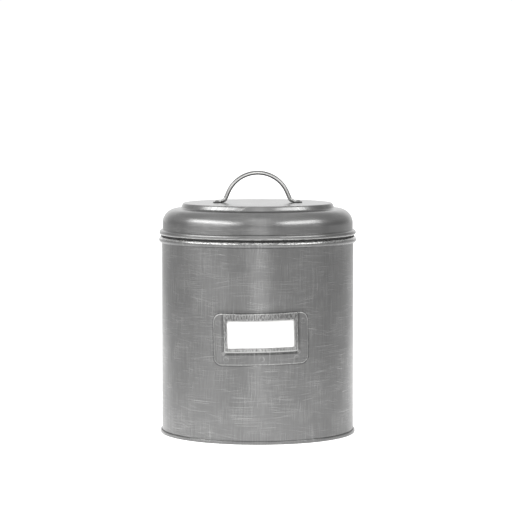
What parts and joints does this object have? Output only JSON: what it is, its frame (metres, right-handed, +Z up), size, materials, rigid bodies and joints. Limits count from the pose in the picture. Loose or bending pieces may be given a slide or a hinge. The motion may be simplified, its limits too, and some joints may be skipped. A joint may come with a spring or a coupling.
{
  "type": "pet food bin",
  "caption": "Round sheet-metal storage bin with a rolled rim, a slip-in label frame and card on the front, and a domed lift-off lid with a bow handle.",
  "frame": {"origin": "on the floor, under the middle of the bin", "axes": "+Z up through the handle, -Y out of the front with the label frame, +X to the right seen from the front"},
  "size_m": [0.1956, 0.1956, 0.2596],
  "materials": {
    "painted_body": "brushed pewter-grey paint, satin",
    "painted_lid": "brushed pewter-grey paint, satin",
    "ring_steel": "plain sheet, satin",
    "seal_rubber": "matt black",
    "handle_steel": "polished",
    "card": "plain white card"
  },
  "bodies": {
    "bin": {"body_wall": "painted_body", "base_plate": "painted_body", "label_frame": "painted_body"},
    "card": {"label_card": "card"},
    "lid": {"lid_shell": "painted_lid", "lid_inner_ring": "ring_steel", "lid_seal": "seal_rubber", "handle": "handle_steel", "handle_rivet_left": "handle_steel", "handle_rivet_right": "handle_steel"}
  },
  "joints": [
    {"name": "lid_lift", "type": "slide", "parent": "bin", "child": "lid", "axis": [0, 0, 1], "range_m": [0, 0.12]},
    {"name": "card_slide", "type": "slide", "parent": "bin", "child": "card", "axis": [0, 0, 1], "range_m": [0, 0.04]}
  ]
}
